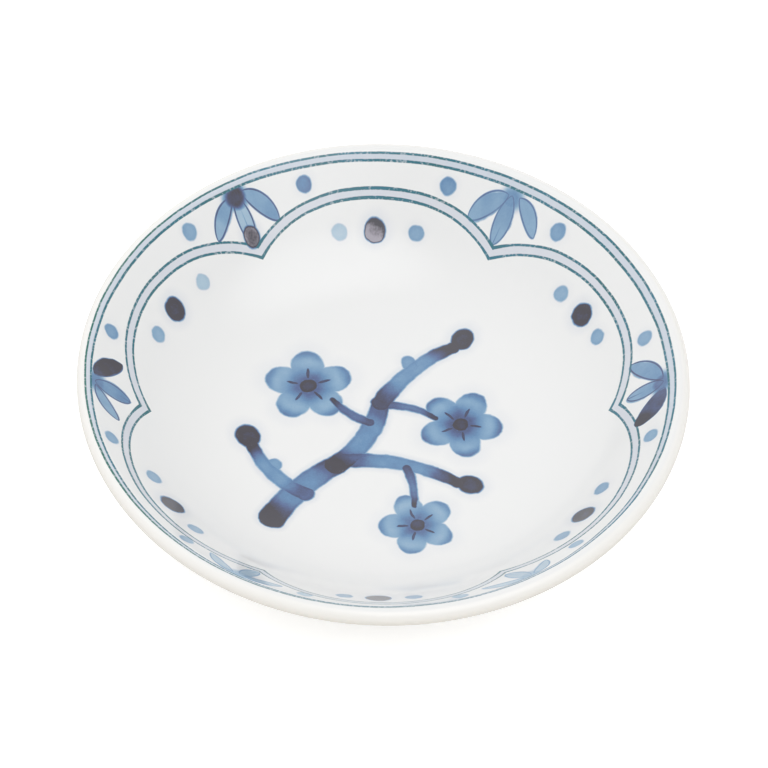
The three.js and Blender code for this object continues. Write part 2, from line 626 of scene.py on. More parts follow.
brush_dot, given, made = new_group("Brush dot", OVAL, ["Ink", "Edge"], ["Ink"])
reach = compute("LENGTH", seen_from(*(given[name] for name in OVAL)))
inside = fading(reach, 1.0 - given["Edge"], given["Edge"] + 1.0)
gathered = blend(soft_step(reach, *GATHER_REACH), *GATHER_INKS)
halo = fading(reach, *HALO_REACH) * HALO_SHARE
fill(made, {"Ink": largest((inside * gathered, halo)) * given["Ink"]})


def dot(place, centre, size, ink, edge=DOT_EDGE, turn=0.0):
    """The ink that one dot leaves at a place."""
    turn = (0, 0, math.radians(turn))
    touch = use_group(brush_dot, place, Centre=centre, Turn=turn, Half_size=size, Ink=ink, Edge=edge)
    return touch["Ink"]


print(brush_dot.name, "is ready")

# %% [markdown]
# ## Brush stroke
# A stroke starts and ends with a pool of dark colour, where the brush rests, and is paler between. It is a
# line with a width that changes from end to end and a bend to one side. The group finds the nearest point
# of that line, and with it how deep inside the stroke a point lies and how far along.

# %% Brush stroke group
STROKE_EDGE = 0.28
STROKE_HALO, HALO_INK = 1.3, 0.08
RESTING, LEAVING = (0.02, 0.34), (0.66, 0.98)
WET_EDGE, WET_INK = (0.15, 0.9), 0.05


def along_line(given):
    """How far along a bent line a place is, from 0 to 1, and its distance from the line."""
    line = given["End"] - given["Start"]
    offset = given["Place"] - given["Start"]
    length = compute("LENGTH", line)
    along = compute("DOT_PRODUCT", offset, line) / (length * length)
    along = compute("MINIMUM", compute("MAXIMUM", along, 0.0), 1.0)
    side = compute("NORMALIZE", compute("CROSS_PRODUCT", (0, 0, 1), line))
    arch = along * (1.0 - along) * 4.0
    nearest = scaled(line, along) + scaled(side, arch * given["Bend"])
    return along, compute("DISTANCE", offset, nearest)


brush_stroke, given, made = new_group(
    "Brush stroke", ["Place", "Start", "End"],
    ["Bend", "Start width", "End width", "Ink", "Start pool", "End pool"], ["Ink"],
)
along, distance = along_line(given)
width = blend(along, given["Start width"], given["End width"])
depth = times_plus(width, 0.5, -distance)
first = (given["Start pool"] - given["Ink"]) * fading(along, *RESTING)
last = (given["End pool"] - given["Ink"]) * soft_step(along, *LEAVING)
ink = times_plus(fading(depth, *WET_EDGE), WET_INK, given["Ink"] + (first + last))
halo = soft_step(depth, -STROKE_HALO, 0.0) * HALO_INK
fill(made, {"Ink": largest((soft_step(depth, -STROKE_EDGE, STROKE_EDGE) * ink, halo))})
print(brush_stroke.name, "is ready")

# %% [markdown]
# ## Leaf
# A leaf is drawn as a fine outline with the tip of the brush, and then filled with one wash. Both have the
# same shape: a line from root to tip whose width swells and closes like a lens. The middle leaf of a spray
# also shows its rib. One group puts out all of these apart, so that the wash and the outline can each have a
# place and an ink of their own.

# %% Leaf group
LEAF_EDGE = 0.16
OUTLINE_WIDTH, OUTLINE_INSET = 0.24, 0.14
OUTLINE_FADE = (0.3 * OUTLINE_WIDTH, OUTLINE_WIDTH)
RIB_FADE = (0.2 * OUTLINE_WIDTH, 0.8 * OUTLINE_WIDTH)
SWELL_POWER, CLOSE_POWER = 0.65, 0.6
WIDEST_PLACE = SWELL_POWER / (SWELL_POWER + CLOSE_POWER)
WIDEST = 1 / (WIDEST_PLACE ** SWELL_POWER * (1 - WIDEST_PLACE) ** CLOSE_POWER)

leaf, given, made = new_group(
    "Leaf", ["Place", "Start", "End"], ["Bend", "Width"], ["Wash", "Outline", "Rib", "Along"],
)
along, distance = along_line(given)
swell = compute("POWER", along, SWELL_POWER)
belly = swell * compute("POWER", 1.0 - along, CLOSE_POWER) * given["Width"]
depth = times_plus(belly, WIDEST / 2, -distance)
fill(made, {
    "Wash": soft_step(depth, -LEAF_EDGE, LEAF_EDGE),
    "Outline": fading(compute("ABSOLUTE", depth - OUTLINE_INSET), *OUTLINE_FADE),
    "Rib": fading(distance, *RIB_FADE) * swell * soft_step(depth, 0.0, OUTLINE_WIDTH),
    "Along": along,
})
print(leaf.name, "is widest", round(WIDEST_PLACE, 2), "of the way to its tip")

# %% [markdown]
# ## Blossom
# The sprig in the middle carries open blossoms of five round petals with a dark heart. Folding by fifths,
# as the wall is folded by sixths, paints all five petals with one oval. A petal is darker at its base and
# along its rim, where the wash dries last.

# %% Blossom group
PETALS = 5
PETAL_ANGLE = math.tau / PETALS
PETAL_PLACE, PETAL_SIZE, PETAL_EDGE = (0.56, 0, 0), (0.44, 0.38, 1), 0.09
PETAL_INK = 0.86
BASE_REACH, BASE_INK = (0.2, 0.7), 0.5
RIM_REACH, RIM_INK = (0.72, 0.98), 0.35
STAMEN_PLACE, STAMEN_SIZE, STAMEN_EDGE, STAMEN_INK = (0.36, 0, 0), (0.17, 0.04, 1), 0.4, 0.95
HEART_PLACE, HEART_SIZE, HEART_INK = (0, 0, 0), (0.2, 0.2, 1), 1.0

blossom, given, made = new_group("Blossom", OVAL, ["Ink"], ["Ink"])
bloom = seen_from(*(given[name] for name in OVAL))
parts = parts_of(bloom)
reach = compute("LENGTH", bloom)
heading = compute("WRAP", compute("ARCTAN2", parts["Y"], parts["X"]), PETAL_ANGLE / 2, -PETAL_ANGLE / 2)
folded = flat_place(reach, compute("DEGREES", heading))
shade = times_plus(soft_step(reach, *RIM_REACH), RIM_INK, PETAL_INK)
shade = times_plus(fading(reach, *BASE_REACH), BASE_INK, shade)
petal = dot(folded, PETAL_PLACE, PETAL_SIZE, given["Ink"], PETAL_EDGE) * shade
stamen = dot(folded, STAMEN_PLACE, STAMEN_SIZE, STAMEN_INK, STAMEN_EDGE)
heart = dot(folded, HEART_PLACE, HEART_SIZE, HEART_INK)
fill(made, {"Ink": largest((petal, stamen, heart))})
print(blossom.name, "has", PETALS, "petals")

# %% [markdown]
# ## Painting: places
# The material reads Object coordinates, so the painting stays on the dish in any view and needs no
# unwrapping. A Mapping node turns metres into millimetres and lays the painting on the dish slightly off
# centre and turned, as a hand does. Noise then moves each place about: a little for the print, wide patches
# for the hand and fine ones for the wet edge.

# %% Painting places
PAINTING_SHIFT = (-0.62 * MM, -0.7 * MM, 0)
PAINTING_TURN = (0, 0, math.radians(1.95))
PRINT_WOBBLE = (9.0, 0.14)
HAND_WOBBLE = (5.0, 0.34)
WET_WOBBLE = (1.4, 0.2)


def new_material(name):
    """A new material, and the place on the object in metres."""
    material = bpy.data.materials.new(name)
    material.use_nodes = True
    return material, add_node(material.node_tree, "TexCoord", {})["Object"]


painted, dish_metres = new_material("painted_glaze")
flat = seen_from(dish_metres, PAINTING_SHIFT, PAINTING_TURN, (MM, MM, MM)) * FLAT
printed = wobble(flat, *PRINT_WOBBLE)
brushed = wobble(wobble(flat, *HAND_WOBBLE), *WET_WOBBLE)
print("The painting is turned by", round(math.degrees(PAINTING_TURN[2]), 2), "degrees")

# %% [markdown]
# ## Painting: fine lines
# Two rings run below the lip, and a double line of six lobes below them, each pair with a pale wash between
# its lines. They are printed with a fine screen before the brush comes, so they are thin, crisp and beaded.
# No print sits quite true on a curved wall: each ring has its own middle, and both thin out on the near
# side. The points and crests of the lobes have moved too, and some print heavier, so short tables say by
# how much.

# %% Rings
LINE_WIDTH = 0.32
LINE_SOFTNESS = 0.06
WASH_SPILL = 0.3
OUTER_RING = {"radius": 48.1, "middle": (0.1, 0.475, 0), "stretch": (1.0, 1.0089, 1.0)}
INNER_RING = {"radius": 47.1, "middle": (0.05, 0.12, 0), "stretch": (1.0, 1.0, 1.0)}
RING_WASH = 0.185
RING_EDGE = (-0.2, 0.1)
NEAR_WAY, NEAR_SIDE, NEAR_WIDTH = (0, -1, 0), (18.0, 44.0), 0.4 * LINE_WIDTH


def printed_line(gap, width):
    """The ink of a fine line, by a point's distance from the line's middle."""
    beyond = times_plus(width, -0.5, compute("ABSOLUTE", gap))
    return fading(beyond, -LINE_SOFTNESS, LINE_SOFTNESS)


def between(outer_gap, inner_gap):
    """1 between two lines, by the distance from each, with a little spilled over both."""
    return soft_step(compute("MINIMUM", -outer_gap, inner_gap), -WASH_SPILL, WASH_SPILL / 2)


def ring_gap(place, radius, middle, stretch):
    """How far a place is outside a ring, which is off centre and may be narrowed from near to far."""
    return compute("LENGTH", (place - middle) * stretch) - radius


ring_gaps = [ring_gap(printed, **ring) for ring in (OUTER_RING, INNER_RING)]
inside_rings = fading(ring_gaps[1], *RING_EDGE)
nearness = soft_step(compute("DOT_PRODUCT", printed, NEAR_WAY), *NEAR_SIDE)
ring_width = blend(nearness, LINE_WIDTH, NEAR_WIDTH)
inks = [between(*ring_gaps) * RING_WASH]
line_inks = [printed_line(gap, ring_width) for gap in ring_gaps]
print(len(line_inks), "rings")

# %% Lobed lines
CRESTS, POINTS = (43.85, 42.7), (39.5, 38.0)
LOBE_POWER = 2.5
LOBE_WASH = 0.14
LOBE_TURN = WEDGE_ANGLE / 2
POINT_TURNS = (1.6, 0.7, 0.1, 0.0, 1.0, 0.0)
POINT_SHIFTS = (0.0, 0.15, 0.0, -0.5, 0.9, 0.5)
POINT_REACH, POINT_SWELL = (0.85, 1.0), 0.5
CREST_SHIFTS = (0.0, 0.0, 0.1, 0.9, 1.6, 0.8)
CREST_SWELLS = (0.0, 0.25, 0.0, 0.2, 0.0, 0.0)
CREST_REACH = (0.1, 0.5)


def near_point(angle):
    """1 at a point of the lobes and 0 at the crest between two points."""
    return times_plus(compute("ABSOLUTE", angle), -1 / LOBE_TURN, 1.0)


lines = use_group(sixfold, printed, Turn=0.0)
arches = use_group(sixfold, printed, Turn=LOBE_TURN)
point_turn, point_shift, _ = wedge_table(lines, zip(POINT_TURNS, POINT_SHIFTS))
crest_shift, crest_swell, _ = wedge_table(arches, zip(CREST_SHIFTS, CREST_SWELLS))
pointed = near_point(lines["Angle"] - point_turn * near_point(lines["Angle"]))
lobe_radius = lines["Radius"] - blend(pointed, crest_shift, point_shift)
lobe_dip = compute("POWER", pointed, LOBE_POWER)
lobe_gaps = []
for crest, point in zip(CRESTS, POINTS):
    lobe_gaps.append(times_plus(lobe_dip, crest - point, lobe_radius - crest))
swell = soft_step(pointed, *POINT_REACH) * POINT_SWELL
heavier = times_plus(fading(pointed, *CREST_REACH), crest_swell, swell) + 1.0
inks.append(between(*lobe_gaps) * LOBE_WASH)
line_inks += [printed_line(gap, heavier * LINE_WIDTH) * heavier for gap in lobe_gaps]
print(len(line_inks), "fine lines")

# %% [markdown]
# ## Painting: dots
# Each lobe holds a dark dot with a pale one on either side, and a middling dot stands on each side of every
# spray. A hand sets them by eye, and no two are loaded with quite the same colour, so their angles, inks
# and places are tables again, with the clockwise dot first. The top lobe's dark dot also carries a paler
# grey patch, which is a painted reflection of the tent's bright place in the glaze.

# %% Dots in the lobes
LOBE_DOT_ANGLES = (
    (-6.7, 0.9, 9.2), (-9.7, 0.3, 9.2), (-12.3, -1.4, 7.6),
    (-6.6, 2.7, 11.6), (-8.3, -0.7, 7.2), (-12.5, -4.3, 5.0),
)
LOBE_DOT_INKS = (
    (0.50, 1.03, 0.45), (0.50, 1.02, 0.30), (0.32, 1.04, 0.44),
    (0.46, 1.03, 0.46), (0.46, 1.04, 0.50), (0.46, 1.04, 0.48),
)
DOT_SHIFTS = (0.2, -0.45, 0.0, 0.75, 1.8, 0.55)
DOT_STRETCHES = (1.0, 1.0, 1.0, 1.2, 1.25, 1.12)
DOT_PLACE = (39.2, 0, 0)
PALE_SIZE, DARK_SIZE = (1.05, 1.35), (1.6, 1.92)
# Painted reflection: extra ink in a patch of the top lobe's dark dot, which the cobalt ramp turns pale grey.
PAINTED_REFLECTION_INKS = (0.0, 0.28, 0.0, 0.0, 0.0, 0.0)
PAINTED_REFLECTION_PLACE, PAINTED_REFLECTION_SIZE, PAINTED_REFLECTION_EDGE = (38.8, 0.35, 0), (1.3, 1.6, 1), 0.4

lobes = use_group(sixfold, brushed, Turn=LOBE_TURN)
dot_inks = wedge_table(lobes, LOBE_DOT_INKS)
dot_table = zip(DOT_SHIFTS, DOT_STRETCHES, PAINTED_REFLECTION_INKS)
dot_shift, dot_stretch, painted_reflection_ink = wedge_table(lobes, dot_table)
dot_radius = lobes["Radius"] - dot_shift
dot_places = []
for angle in wedge_table(lobes, LOBE_DOT_ANGLES):
    dot_places.append(flat_place(dot_radius, lobes["Angle"] - angle))
# The painted reflection is added to the ink of the top lobe's dark dot.
dot_inks[1] = dot_inks[1] + dot(dot_places[1], PAINTED_REFLECTION_PLACE, PAINTED_REFLECTION_SIZE, painted_reflection_ink, PAINTED_REFLECTION_EDGE)
for place, (half_along, half_across), ink in zip(dot_places, (PALE_SIZE, DARK_SIZE, PALE_SIZE), dot_inks):
    size = combine(dot_stretch * half_along, half_across, 1.0)
    inks.append(dot(place, DOT_PLACE, size, ink))
print(WEDGES * len(dot_places), "dots in the lobes")

# %% Dots beside the sprays
OUTER_ANGLES = ((-12.5, 14.1), (-11.7, 14.7), (-14.4, 13.7), (-13.8, 14.8), (-13.8, 14.0), (-14.0, 14.0))
OUTER_INKS = ((0.46, 0.48), (0.53, 0.57), (0.66, 0.47), (0.52, 0.48), (0.42, 0.36), (0.36, 0.42))
OUTER_PLACE, OUTER_SIZE = (45.05, 0, 0), (1.1, 1.32, 1)

sprays = use_group(sixfold, brushed, Turn=0.0)
outer_angles = wedge_table(sprays, OUTER_ANGLES)[:2]
outer_inks = wedge_table(sprays, OUTER_INKS)[:2]
for angle, ink in zip(outer_angles, outer_inks):
    place = flat_place(sprays["Radius"], sprays["Angle"] - angle)
    inks.append(dot(place, OUTER_PLACE, OUTER_SIZE, ink))
print(WEDGES * len(outer_inks), "dots beside the sprays")

# %% [markdown]
# ## Painting: sprays of leaves
# Three leaves hang from the inner ring at each point of the lobes. The outlines are drawn with a steady
# fine brush, and the wash is laid over them with a freer hand, so it sits a little off. Tables say how far
# out and along each leaf's tip is, how wide the leaf is and how dark, with the clockwise leaf first. Some
# leaves are one dark touch, and some only darken at the tip or where the three meet.

# %% Leaf shapes and inks
CLOCKWISE_LEAF = (
    (41.9, -5.7, 3.4), (42.5, -5.4, 2.4), (41.4, -5.2, 2.8),
    (42.0, -5.6, 2.7), (43.2, -6.6, 2.0), (43.6, -6.8, 2.0),
)
MIDDLE_LEAF = (
    (40.6, 1.2, 2.7), (39.9, 0.9, 3.0), (39.8, 0.5, 2.8),
    (40.6, 0.7, 3.0), (41.0, 0.9, 2.6), (41.0, -0.6, 2.6),
)
ANTICLOCKWISE_LEAF = (
    (41.3, 7.4, 2.7), (41.4, 6.4, 3.0), (41.7, 6.4, 2.3),
    (42.4, 6.4, 2.2), (43.5, 6.8, 2.0), (43.2, 5.6, 2.0),
)
LEAF_SHAPES = (CLOCKWISE_LEAF, MIDDLE_LEAF, ANTICLOCKWISE_LEAF)
LEAF_ROOTS = ((46.5, -0.6, 0), (46.4, 0.7, 0), (46.3, 1.3, 0))
LEAF_BENDS = (0.4, 0.1, -0.4)
# In this table and the next, the last two rows are the near sprays, painted paler as a painted reflection of
# the glaze seen at a low angle.
LEAF_INKS = (
    (0.85, 0.52, 0.56), (0.48, 0.54, 0.52), (0.48, 0.36, 0.5),
    (0.98, 0.56, 0.48), (0.32, 0.34, 0.3), (0.3, 0.33, 0.32),
)
TIP_INKS = (
    (1.03, 0.46, 0.5), (0.46, 0.46, 0.46), (0.54, 0.4, 0.42),
    (1.03, 0.6, 0.44), (0.32, 0.34, 0.3), (0.3, 0.33, 0.32),
)
print(WEDGES * len(LEAF_SHAPES), "leaves in", WEDGES, "sprays")

# %% Sprays
TIP_START = (0.5, 0.72)
WASH_SHIFT = (0.05, 0.12, 0.0)
# The last two outline and root inks are paler for the near sprays: a painted reflection of the glaze at a
# low angle.
OUTLINE_INKS = (0.82, 0.7, 0.8, 0.8, 0.52, 0.52)
ROOT_INKS = (0.74, 0.6, 1.02, 0.66, 0.4, 0.4)
ROOT_PLACE, ROOT_SIZE, ROOT_EDGE = (46.0, 0.8, 0), (1.5, 2.1, 1), 0.55
# The dab is a real dark touch, but its ink of 1.16 is past 1.1, so the ramp lays a painted reflection over
# it.
DAB_INKS = (0.0, 0.0, 1.16, 0.0, 0.0, 0.0)
DAB_PLACE, DAB_SIZE, DAB_EDGE = (41.0, 0.55, 0), (1.5, 1.4, 1), 0.24

leaf_inks = wedge_table(sprays, LEAF_INKS)
tip_inks = wedge_table(sprays, TIP_INKS)
touch_table = zip(ROOT_INKS, DAB_INKS, OUTLINE_INKS)
root_ink, dab_ink, outline_ink = wedge_table(sprays, touch_table)
outline_place = flat_place(lines["Radius"], lines["Angle"])
wash_place = flat_place(sprays["Radius"], sprays["Angle"]) + WASH_SHIFT
spray_inks = [
    dot(wash_place, ROOT_PLACE, ROOT_SIZE, root_ink, ROOT_EDGE),
    dot(wash_place, DAB_PLACE, DAB_SIZE, dab_ink, DAB_EDGE),
]
for shapes, root, bend, leaf_ink, tip_ink in zip(LEAF_SHAPES, LEAF_ROOTS, LEAF_BENDS, leaf_inks, tip_inks):
    tip_out, tip_along, width = wedge_table(sprays, shapes)
    shape = {"Start": root, "End": combine(tip_out, tip_along), "Bend": bend, "Width": width}
    wash = use_group(leaf, wash_place, **shape)
    drawn = use_group(leaf, outline_place, **shape)
    darker = soft_step(wash["Along"], *TIP_START) * (tip_ink - leaf_ink)
    outline = drawn["Outline"]
    if shapes is MIDDLE_LEAF:
        outline = largest((outline, drawn["Rib"]))
    spray_inks += [wash["Wash"] * (leaf_ink + darker), outline * outline_ink]
inks += [ink * inside_rings for ink in spray_inks]
print(len(spray_inks), "touches in each spray")

# %% [markdown]
# ## Painting: the sprig in the middle
# A flowering sprig fills the well, brushed with a few broad strokes: a stem that climbs to the right, two
# side twigs, three open blossoms on short stalks and a few buds. Each stroke rests dark at its ends and
# joints and runs paler between them. A picture could be laid on the dish, but strokes that are rows of
# numbers stay sharp at any size and are easy to move.

# %% Sprig strokes: start, end, bend, widths at both ends, ink between, ink at both ends
SPRIG_STROKES = (
    ((-17.4, -17.6), (-7.0, -6.5), 0.9, (4.8, 4.0), 0.62, (1.03, 0.86)),
    ((-7.0, -6.5), (0.5, 6.5), -1.4, (4.0, 3.4), 0.6, (1.02, 0.84)),
    ((0.5, 6.5), (12.5, 18.5), 1.2, (3.4, 2.4), 0.56, (0.92, 1.03)),
    ((-5.5, -5.5), (13.0, -10.0), 1.5, (3.2, 2.2), 0.58, (0.82, 1.0)),
    ((-12.0, -12.5), (-21.0, -1.5), 1.4, (3.0, 2.2), 0.56, (0.8, 1.0)),
    ((-1.5, 2.5), (-7.5, 7.2), 0.5, (1.9, 1.1), 0.72, (0.84, 0.95)),
    ((1.0, 6.2), (9.5, 3.4), 0.7, (1.9, 1.1), 0.7, (0.84, 0.95)),
    ((4.6, -7.2), (5.8, -15.0), 0.5, (1.8, 1.1), 0.7, (0.84, 0.95)),
)
for start, end, bend, (start_width, end_width), ink, (start_pool, end_pool) in SPRIG_STROKES:
    stroke = use_group(
        brush_stroke, brushed, Start=(*start, 0), End=(*end, 0), Bend=bend,
        Start_width=start_width, End_width=end_width, Ink=ink, Start_pool=start_pool, End_pool=end_pool,
    )
    inks.append(stroke["Ink"])
print(len(SPRIG_STROKES), "strokes in the sprig")

# %% Sprig blossoms: middle, half size, turn, ink. Buds: middle, half length, half width, turn, ink
BLOSSOMS = (
    ((-11.4, 10.2), 7.4, 20.0, 0.54),
    ((13.6, 2.2), 7.0, -8.0, 0.57),
    ((6.2, -18.8), 6.4, 40.0, 0.52),
)
BUDS = (
    ((-21.4, -0.4), 2.0, 2.4, 25.0, 1.02),
    ((14.2, 20.2), 1.9, 2.2, -40.0, 1.03),
    ((15.0, -10.4), 1.9, 2.2, 70.0, 1.0),
    ((5.4, 14.9), 1.4, 1.8, 30.0, 0.56),
    ((-17.4, -6.6), 1.4, 1.7, -60.0, 0.54),
)
for centre, size, turn, ink in BLOSSOMS:
    turn = (0, 0, math.radians(turn))
    bloom = use_group(blossom, brushed, Centre=(*centre, 0), Turn=turn, Half_size=(size, size, 1), Ink=ink)
    inks.append(bloom["Ink"])
for centre, half_along, half_across, turn, ink in BUDS:
    inks.append(dot(brushed, (*centre, 0), (half_along, half_across, 1), ink, turn=turn))
print(len(BLOSSOMS), "blossoms and", len(BUDS), "buds, and", len(inks), "washes and touches in all")

# %% [markdown]
# ## Painting: cobalt
# Cobalt under glaze is one pigment that changes colour with its thickness: a thin wash is sky blue, a full
# brush is indigo, and a pool is almost black with a purple cast. So every touch only says how much ink it
# leaves, the thickest one wins, and one colour ramp turns the amount into colour. Water leaves the ink a
# little patchy.

# %% Brushed ink
# Amounts above 1.1 turn pale grey: that end of the ramp is a painted reflection, not a colour of the cobalt.
COBALT = (
    (0.00, (240, 240, 239)),
    (0.16, (212, 216, 225)),
    (0.30, (172, 197, 214)),
    (0.45, (131, 167, 197)),
    (0.60, (92, 136, 178)),
    (0.75, (72, 94, 142)),
    (0.88, (56, 62, 98)),
    (1.00, (48, 42, 54)),
    (1.10, (52, 46, 58)),
    (1.30, (158, 152, 164)),
)
WATER_CLOUD, WATER_INKS = (2.4, 3.0), (0.85, 1.15)
GRAIN_CLOUD, GRAIN_INKS = (0.3, 1.0), (0.95, 1.05)

water = blend(cloud(flat, *WATER_CLOUD)["Fac"], *WATER_INKS)
grain = blend(cloud(flat, *GRAIN_CLOUD)["Fac"], *GRAIN_INKS)
full_ink = largest(inks) * (water * grain)
ink_colour = colour_ramp(full_ink, COBALT)
print("Ink runs from", COBALT[0][1], "to", COBALT[-1][1])

# %% [markdown]
# ## Painting: colour of the print
# The printed lines are a greener blue than the brushed ink, and they vary a little from place to place. The
# outer ring turns green on the left, where it came thin from the screen. The screen leaves its beads in
# every line, and where the brush was full, the print is lost under it.

# %% Printed ink
LINE_COLOURS = ((0.0, (0, 98, 100)), (0.35, (0, 100, 110)), (0.65, (0, 108, 130)))
LINE_PATCHES = 7.0
GREEN_LINE = screen_colour(0, 102, 90)
GREEN_WAY, GREEN_SIDE = (-0.9, -0.44, 0), (0.0, 25.0)
BEAD_CLOUD, BEAD_REACH, BEAD_INKS = (0.45, 1.0), (0.3, 0.6), (0.55, 1.45)
HIDDEN_LINES = (0.72, 0.95)

line_colour = colour_ramp(cloud(flat, LINE_PATCHES)["Fac"], LINE_COLOURS)
greener = soft_step(compute("DOT_PRODUCT", printed, GREEN_WAY), *GREEN_SIDE)
line_colour = mix_colour(greener * line_inks[0], line_colour, GREEN_LINE)
bead_ink = blend(soft_step(cloud(flat, *BEAD_CLOUD)["Fac"], *BEAD_REACH), *BEAD_INKS)
line_ink = largest(line_inks) * bead_ink * fading(full_ink, *HIDDEN_LINES)
print("Lines are", LINE_WIDTH, "mm wide with beads of about", BEAD_CLOUD[0], "mm")

# %% [markdown]
# ## Glaze skin
# Fired glaze is close to glass, but melted on: it is clouded a little, its gloss changes from place to
# place, and it follows the faint ridges that the potter's fingers left as the clay turned. All three glazed
# pieces need the same skin, so it is a node group that puts out the gloss, a height for Bump, a cloud and
# the odd speck from the kiln.

# %% Glaze skin group
PEEL_CLOUD = (1.6, 1.0)
RIDGE_CLOUD, RIDGE_SHARE = (2.6, 1.0), 1.6
GLOSS_CLOUD, GLOSS = (11.0, 3.0), (0.07, 0.17)
TINT_PATCHES = 24.0
SPECK_SPACING, SPECK_RADIUS, SPECK_SHARE = 8.0, 0.13, 0.22

glaze_skin, given, made = new_group("Glaze skin", ["Place"], [], ["Roughness", "Height", "Cloud", "Speck"])
place = given["Place"]
from_axis = combine(compute("LENGTH", place * FLAT), 0.0)
ridges = cloud(from_axis, *RIDGE_CLOUD)["Fac"]
specks = add_node(glaze_skin, "TexVoronoi", {"Vector": place, "Scale": 1 / SPECK_SPACING})
chance = colour_parts(specks["Color"])
chosen = compute("LESS_THAN", chance["Red"], SPECK_SHARE)
near = compute("LESS_THAN", specks["Distance"], chance["Green"] * (SPECK_RADIUS / SPECK_SPACING))
fill(made, {
    "Roughness": blend(cloud(place, *GLOSS_CLOUD)["Fac"], *GLOSS),
    "Height": times_plus(ridges, RIDGE_SHARE, cloud(place, *PEEL_CLOUD)["Fac"]),
    "Cloud": cloud(place, TINT_PATCHES)["Fac"],
    "Speck": chosen * near,
})
print(glaze_skin.name, "has specks up to", 2 * SPECK_RADIUS, "mm wide")

# %% Finishing a surface
GLAZE_RELIEF = 0.004 * MM
GLASS_BENDING = 1.5
CLOUD_TINT, CLOUD_DEPTH = screen_colour(226, 230, 234), 0.12
SPECK_TINT, SPECK_DEPTH = screen_colour(120, 104, 88), 0.45


def finish_surface(material, height, relief, inputs):
    """Gives a material's shader a relief and the rest of its inputs."""
    bump = add_node(material.node_tree, "Bump", {"Height": height, "Distance": relief})
    fill(material.node_tree.nodes["Principled BSDF"], {"Normal": bump["Normal"], **inputs})


def add_glaze(material, place, colour):
    """Finishes a glaze: clouds and specks in the colour, with the skin's gloss and relief."""
    skin = use_group(glaze_skin, place)
    colour = mix_colour(skin["Cloud"] * CLOUD_DEPTH, colour, CLOUD_TINT)
    colour = mix_colour(skin["Speck"] * SPECK_DEPTH, colour, SPECK_TINT)
    inputs = {"Base Color": colour, "Roughness": skin["Roughness"], "IOR": GLASS_BENDING}
    finish_surface(material, skin["Height"], GLAZE_RELIEF, inputs)


def dress(material, pieces):
    """Gives a material to pieces."""
    for piece in pieces:
        piece.data.materials.append(material)
    print(material.name, "has", len(material.node_tree.nodes), "nodes and", len(pieces), "pieces")


print("Glaze has a relief of", GLAZE_RELIEF / MM, "mm")

# %% [markdown]
# ## Painted glaze
# The face's own glaze goes over the painting. On the lip it runs thin in the fire, so the clay's warm
# colour comes through from the crown of the lip outwards. A second material would end there at a hard edge,
# so this one changes with the distance from the axis, and warms further with the drop from the lip's top.
# The same change is partly painted light: the crown is a painted highlight, lighter than the face, and the
# lip's lower outside is darker as painted shade.

# %% Painted glaze
LIP_CROWN = lip_centre.x / MM
LIP_TOP = cad_high.z / MM
LIP_FADE = (LIP_CROWN + 0.1, LIP_CROWN + 0.7)
LIP_DROP = 2.4
# Painted highlight at the crown, then warm thin glaze and painted shade further down the lip's outside.
LIP_TINT_AND_PAINTED_LIGHT = ((0.0, (246, 245, 242)), (0.35, (244, 241, 235)), (1.0, (230, 224, 212)))

dish_place = scaled(dish_metres, 1 / MM)
drop = (LIP_TOP - parts_of(dish_place)["Z"]) / LIP_DROP
on_lip = soft_step(compute("LENGTH", dish_place * FLAT), *LIP_FADE)
face_colour = mix_colour(on_lip, ink_colour, colour_ramp(drop, LIP_TINT_AND_PAINTED_LIGHT))
face_colour = mix_colour(line_ink, face_colour, line_colour)
add_glaze(painted, dish_place, face_colour)
dress(painted, [painted_face])

# %% [markdown]
# ## Clear glaze on the back and in the hollow
# The back is glazed white with no painting. It is a shade warmer than the face, and darker and warmer near
# the foot. One plain colour would look like plastic, so the colour changes with the height above the table,
# and the skin adds its clouds and specks.

# %% Clear glaze
CLEAR_WHITES = ((0.0, (230, 224, 212)), (1.0, (238, 235, 228)))
FOOT_BAND = (BARE_BAND / MM, 7.0)

clear, coat_metres = new_material("clear_glaze")
coat_place = scaled(coat_metres, 1 / MM)
above_foot = soft_step(parts_of(coat_place)["Z"], *FOOT_BAND)
add_glaze(clear, coat_place, colour_ramp(above_foot, CLEAR_WHITES))
dress(clear, [glazed_back, glazed_foot_well])

# %% [markdown]
# ## Bare clay
# The foot's edge and the body are porcelain without glaze: matt, finely grained and the colour of cream.
# Where glaze ends on clay, iron in the clay leaves a faint toasted line. A thin ring could be added for it,
# but it is only colour, so it is painted by the height above the table, and noise makes it uneven.

# %% Bare clay
CLAY_COLOURS = ((0.35, (232, 226, 213)), (0.65, (222, 214, 198)))
CLAY_RELIEF = 0.03 * MM
CLAY_ROUGHNESS = (0.52, 0.72)
GRAIN_PATCHES = (0.22, 4.0)
MOTTLE_PATCHES = (2.5, 4.0)
TOAST_WIDTH, TOAST_DEPTH = 0.35, 0.55
TOAST_FADE = (0.5 * TOAST_WIDTH, 1.6 * TOAST_WIDTH)
TOAST_COLOUR = screen_colour(206, 176, 142)

clay, clay_metres = new_material("bare_porcelain")
clay_place = scaled(clay_metres, 1 / MM)
fine = cloud(clay_place, *GRAIN_PATCHES)["Fac"]
mottle = cloud(clay_place, *MOTTLE_PATCHES)["Fac"]
from_glaze = compute("ABSOLUTE", parts_of(clay_place)["Z"] - BARE_BAND / MM)
toast = fading(times_plus(mottle, TOAST_WIDTH, from_glaze), *TOAST_FADE)
clay_colour = mix_colour(toast * TOAST_DEPTH, colour_ramp(mottle, CLAY_COLOURS), TOAST_COLOUR)
clay_inputs = {"Base Color": clay_colour, "Roughness": blend(fine, *CLAY_ROUGHNESS)}
finish_surface(clay, fine, CLAY_RELIEF, clay_inputs)
dress(clay, [clay_body, bare_foot])

